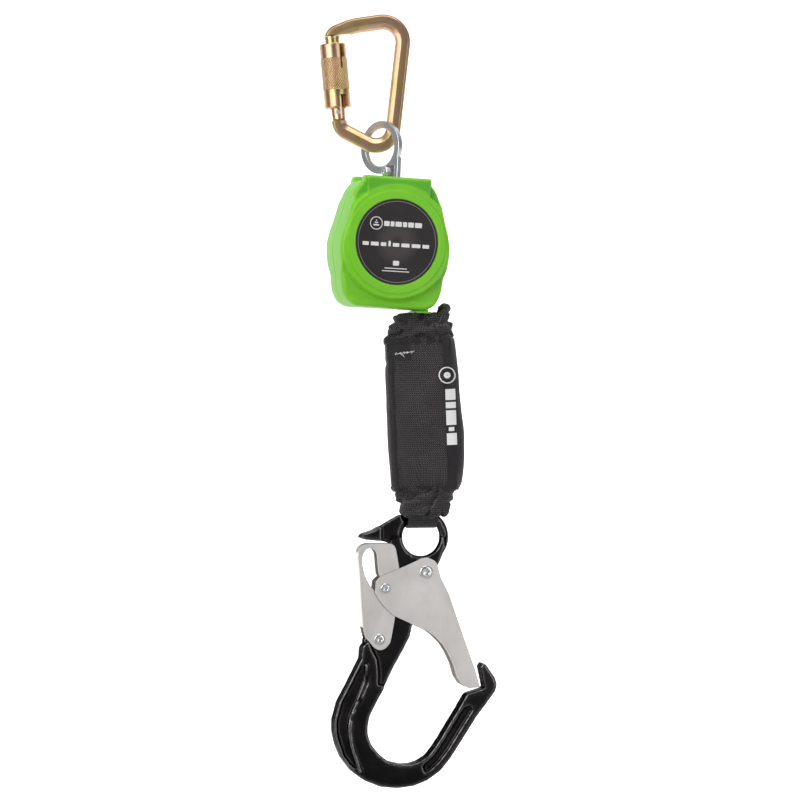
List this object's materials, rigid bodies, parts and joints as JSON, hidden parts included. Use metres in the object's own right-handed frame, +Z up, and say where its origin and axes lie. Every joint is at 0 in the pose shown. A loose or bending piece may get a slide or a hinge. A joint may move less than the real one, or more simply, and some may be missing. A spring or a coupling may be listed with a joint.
{
  "type": "self retracting lifeline",
  "caption": "Compact personal self retracting lifeline: twist-lock carabiner, swivel eye, round-bossed plastic housing with a webbing drum, fabric energy absorber pack and wide scaffold hook.",
  "frame": {"origin": "inside top of the carabiner bow, where the unit hangs from its anchor", "axes": "+Z up along the hanging unit, X right, Y away from the viewer; the carabiner lies in the XZ plane"},
  "size_m": [0.1458, 0.0736, 0.6324],
  "materials": {
    "yellow_zinc": "yellow chromate zinc plate with faint pink and olive bands, semi-bright",
    "bright_zinc": "bright zinc plate, satin",
    "steel": "bright steel",
    "dark_steel": "dark phosphated steel",
    "brass": "plain bearing bronze",
    "green_plastic": "glass-filled nylon, satin moulded",
    "label_print": "printed satin label with a grey ring and plain bars",
    "webbing": "woven polyester webbing",
    "tear_webbing": "red tear webbing",
    "cover_fabric": "black coated nylon weave",
    "white_thread": "white bonded thread",
    "gate_steel": "satin stamped steel sheet",
    "black_anodised": "black anodised forging, satin"
  },
  "bodies": {
    "carabiner": {"carabiner_frame": "yellow_zinc", "carabiner_gate_pin": "steel"},
    "carabiner_gate": {"carabiner_gate": "yellow_zinc", "sleeve_spring": "steel"},
    "sleeve": {"locking_sleeve": "yellow_zinc"},
    "eye": {"swivel_eye": "bright_zinc", "swivel_post": "bright_zinc", "eye_screw": "steel", "eye_screw_nut": "steel", "swivel_washer": "brass", "swivel_nut": "steel"},
    "housing": {"front_shell": "green_plastic", "rear_shell": "green_plastic", "front_label": "label_print", "rear_label": "label_print", "shell_screws": "dark_steel", "web_guide": "green_plastic", "front_chassis_plate": "steel", "rear_chassis_plate": "steel", "chassis_bridge": "steel", "chassis_spacers": "steel", "chassis_rivets": "dark_steel", "drum_shaft": "dark_steel", "shaft_clips": "dark_steel", "ratchet_ring": "steel", "spring_case": "dark_steel", "power_spring": "dark_steel"},
    "drum": {"drum_spool": "dark_steel", "drum_bushes": "brass", "spring_arbor": "steel", "wound_lifeline": "webbing", "pawl_pins": "steel", "pawl_springs": "steel"},
    "pawl_1": {"pawl_1": "dark_steel"},
    "pawl_2": {"pawl_2": "dark_steel"},
    "absorber": {"lifeline_strap": "webbing", "absorber_cover": "cover_fabric", "cover_flap": "cover_fabric", "top_ruffle": "cover_fabric", "bottom_ruffle": "cover_fabric", "tear_webbing": "tear_webbing", "webbing_stitches": "white_thread", "upper_loop": "webbing", "lower_loop": "webbing"},
    "hook": {"hook_body": "black_anodised", "gate_pivot_rivet": "steel", "lever_pivot_rivet": "steel", "gate_spring": "steel", "lever_spring": "steel"},
    "hook_gate": {"hook_gate": "gate_steel", "gate_slot_rivet": "steel"},
    "hook_lever": {"hook_lock_lever": "gate_steel"}
  },
  "joints": [
    {"name": "gate_open", "type": "hinge", "parent": "carabiner", "child": "carabiner_gate", "pos_m": [-0.0316, 0, -0.0675], "axis": [0, 1, 0], "range_deg": [0, 25], "stiffness_Nm_per_rad": 0.12, "springref_deg": -20.05},
    {"name": "sleeve_twist", "type": "hinge", "parent": "carabiner_gate", "child": "sleeve", "pos_m": [-0.0316, 0, -0.0675], "axis": [-0.0872, 0, 0.9962], "range_deg": [0, 70], "stiffness_Nm_per_rad": 0.02, "springref_deg": -28.65},
    {"name": "eye_swing", "type": "hinge", "parent": "carabiner", "child": "eye", "pos_m": [0.0027, 0, -0.0886], "axis": [1, 0, 0], "range_deg": [0, 30]},
    {"name": "housing_swivel", "type": "hinge", "parent": "eye", "child": "housing", "pos_m": [0.012, -0.012, -0.118], "axis": [0.048, 0, 0.9988], "continuous": true},
    {"name": "lifeline_pull", "type": "slide", "parent": "housing", "child": "absorber", "axis": [0, 0, -1], "range_m": [0, 1.2], "stiffness_N_per_m": 10, "springref_m": -1.6, "deforming": ["lifeline_strap"]},
    {"name": "drum_spin", "type": "hinge", "parent": "housing", "child": "drum", "pos_m": [0.00927, -0.012, -0.17493], "axis": [-0.302, 0.9532, 0.0145], "range_deg": [-10, 3360]},
    {"name": "pawl_1_swing", "type": "hinge", "parent": "drum", "child": "pawl_1", "pos_m": [0.0264, -0.00656, -0.17576], "axis": [-0.302, 0.9532, 0.0145], "range_deg": [0, 22], "stiffness_Nm_per_rad": 0.003, "springref_deg": -17.19},
    {"name": "pawl_2_swing", "type": "hinge", "parent": "drum", "child": "pawl_2", "pos_m": [-0.00787, -0.01744, -0.17411], "axis": [-0.302, 0.9532, 0.0145], "range_deg": [0, 22], "stiffness_Nm_per_rad": 0.003, "springref_deg": -17.19},
    {"name": "hook_swing", "type": "hinge", "parent": "absorber", "child": "hook", "pos_m": [0.0358, -0.00384, -0.396], "axis": [0.9781, 0.2079, 0], "range_deg": [-60, 60]},
    {"name": "hook_gate_open", "type": "hinge", "parent": "hook", "child": "hook_gate", "pos_m": [0.03825, -0.00332, -0.4438], "axis": [-0.2079, 0.9781, 0], "range_deg": [0, 38], "stiffness_Nm_per_rad": 0.15, "springref_deg": -22.92},
    {"name": "lever_squeeze", "type": "hinge", "parent": "hook", "child": "hook_lever", "pos_m": [0.00059, -0.01132, -0.4983], "axis": [-0.2079, 0.9781, 0], "range_deg": [0, 13.5], "stiffness_Nm_per_rad": 0.1, "springref_deg": -17.19}
  ],
  "couplings": [
    {"joint": "drum_spin", "follows": "lifeline_pull", "rad_per_m": 48.695},
    {"joint": "lever_squeeze", "follows": "hook_gate_open", "ratio": 0.35}
  ]
}
